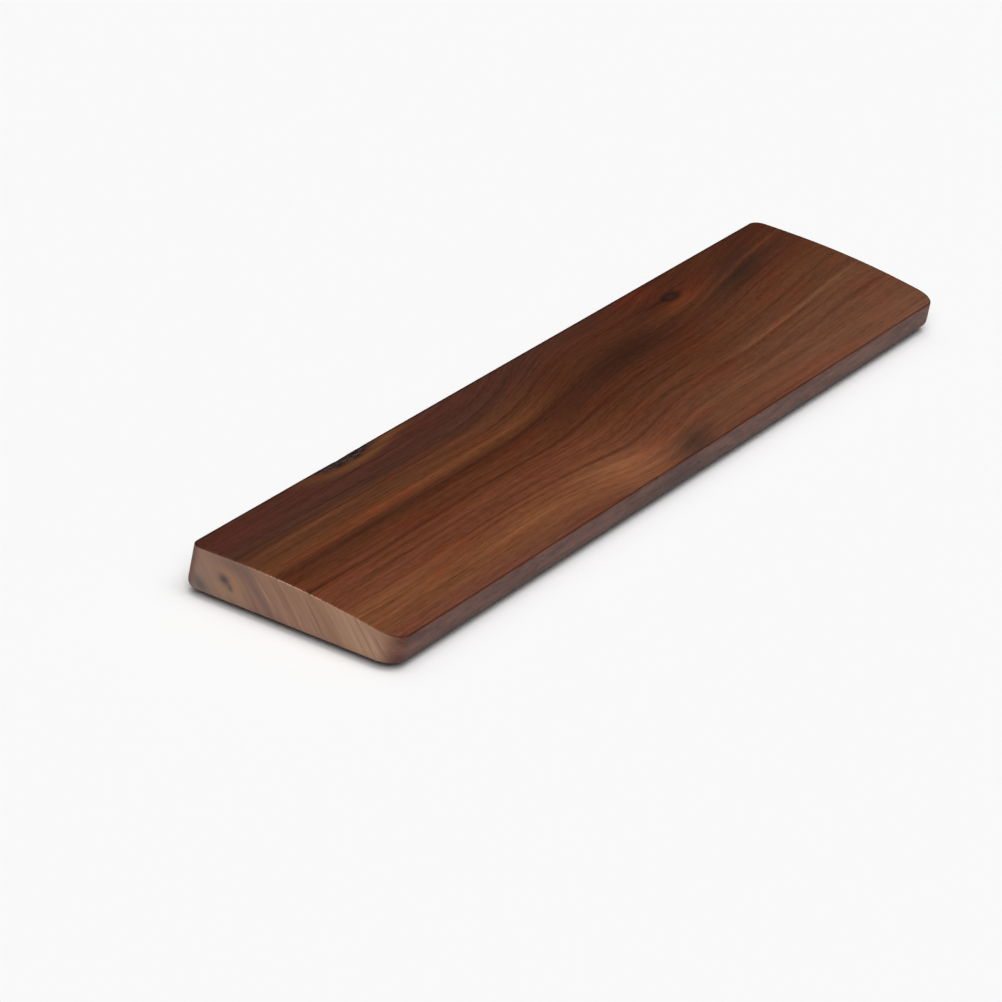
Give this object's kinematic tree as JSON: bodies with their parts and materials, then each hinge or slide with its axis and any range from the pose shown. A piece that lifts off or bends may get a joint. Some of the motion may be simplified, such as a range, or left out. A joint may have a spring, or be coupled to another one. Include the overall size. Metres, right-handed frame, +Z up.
{
  "type": "wrist rest",
  "caption": "Solid walnut wrist rest for a keyboard: a long board with a low rounded front, a crowned top and a tall straight back, on thin round rubber feet.",
  "frame": {"origin": "on the desk surface, under the middle of the board: bottom centre of the bounding box", "axes": "+X along the length, +Y from the low front edge beside the user to the tall back edge beside the keyboard, +Z up"},
  "size_m": [0.44, 0.08, 0.018],
  "materials": {
    "walnut": "oiled, satin",
    "rubber": "matt",
    "adhesive": "milky translucent film"
  },
  "bodies": {
    "root": {"walnut_board": "walnut", "foot_front_left": "rubber", "foot_front_middle": "rubber", "foot_front_right": "rubber", "foot_back_left": "rubber", "foot_back_middle": "rubber", "foot_back_right": "rubber", "film_front_left": "adhesive", "film_front_middle": "adhesive", "film_front_right": "adhesive", "film_back_left": "adhesive", "film_back_middle": "adhesive", "film_back_right": "adhesive"}
  },
  "joints": []
}
